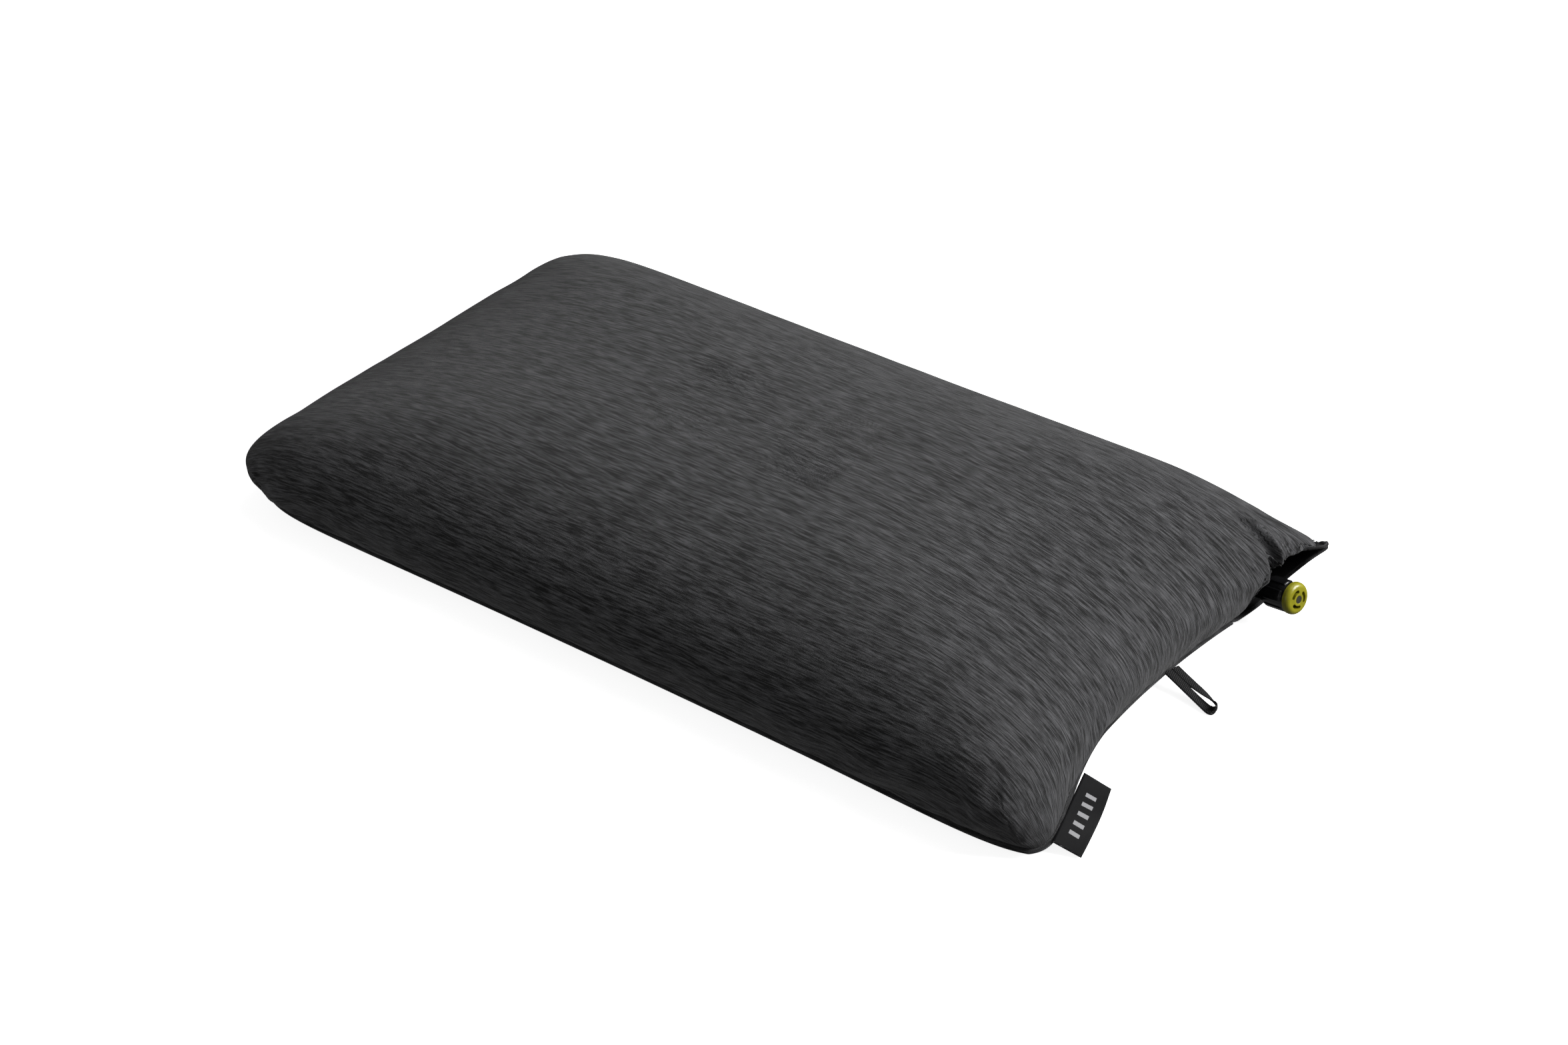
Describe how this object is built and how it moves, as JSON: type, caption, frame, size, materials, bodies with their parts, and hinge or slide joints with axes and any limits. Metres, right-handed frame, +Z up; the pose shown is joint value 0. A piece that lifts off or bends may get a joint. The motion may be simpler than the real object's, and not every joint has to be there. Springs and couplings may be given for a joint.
{
  "type": "camp pillow",
  "caption": "Self-inflating camp pillow with a foam core, airtight bladder, twist valve, knit cover, pull loop and side label.",
  "frame": {"origin": "centre of the flat underside, on the floor", "axes": "+X along the pillow's length towards the end with the valve, +Z up from the floor"},
  "size_m": [0.5748, 0.3156, 0.086],
  "materials": {
    "heather_knit": "heather charcoal jersey knit",
    "black_woven": "black plain-woven polyester",
    "seam_fabric": "rolled seam of knit and woven fabric",
    "braided_tape": "black flat braided tape",
    "label_satin": "black woven label",
    "coated_film": "glossy coated fabric",
    "open_cell_foam": "open-cell polyurethane foam",
    "black_plastic": "glossy black moulded plastic",
    "grey_plastic": "dark grey moulded plastic",
    "olive_plastic": "olive-yellow satin moulded plastic",
    "seal_rubber": "soft moulded rubber",
    "clip_steel": "plain spring steel"
  },
  "bodies": {
    "pillow": {"cover_top": "heather_knit", "cover_underside": "black_woven", "side_seam": "seam_fabric", "port_hem": "seam_fabric", "bladder_top": "coated_film", "bladder_bottom": "coated_film", "foam_core": "open_cell_foam", "valve_base": "black_plastic", "valve_barrel": "black_plastic", "barrel_o_ring": "seal_rubber"},
    "plunger": {"plunger": "grey_plastic", "seal_disc": "seal_rubber", "retaining_clip": "clip_steel"},
    "knob": {"knob_grip": "black_plastic", "knob_face": "olive_plastic"},
    "loop": {"pull_loop": "braided_tape"},
    "label": {"side_label": "label_satin"}
  },
  "joints": [
    {"name": "knob_turn", "type": "hinge", "parent": "plunger", "child": "knob", "pos_m": [0.28265, 0.113, 0.02], "axis": [0.9568, -0.2034, 0.2079], "range_deg": [0, 180]},
    {"name": "plunger_lift", "type": "slide", "parent": "pillow", "child": "plunger", "axis": [0.9568, -0.2034, 0.2079], "range_m": [0, 0.003]},
    {"name": "loop_swing", "type": "hinge", "parent": "pillow", "child": "loop", "pos_m": [0.25448, 0.02899, 0.0085], "axis": [-0.2756, -0.9613, 0], "range_deg": [0, 60]},
    {"name": "label_swing", "type": "hinge", "parent": "pillow", "child": "label", "pos_m": [0.27219, -0.10212, 0.007], "axis": [0.2838, -0.9589, 0], "range_deg": [0, 55]}
  ],
  "couplings": [
    {"joint": "plunger_lift", "follows": "knob_turn", "m_per_rad": 0.00095492}
  ]
}
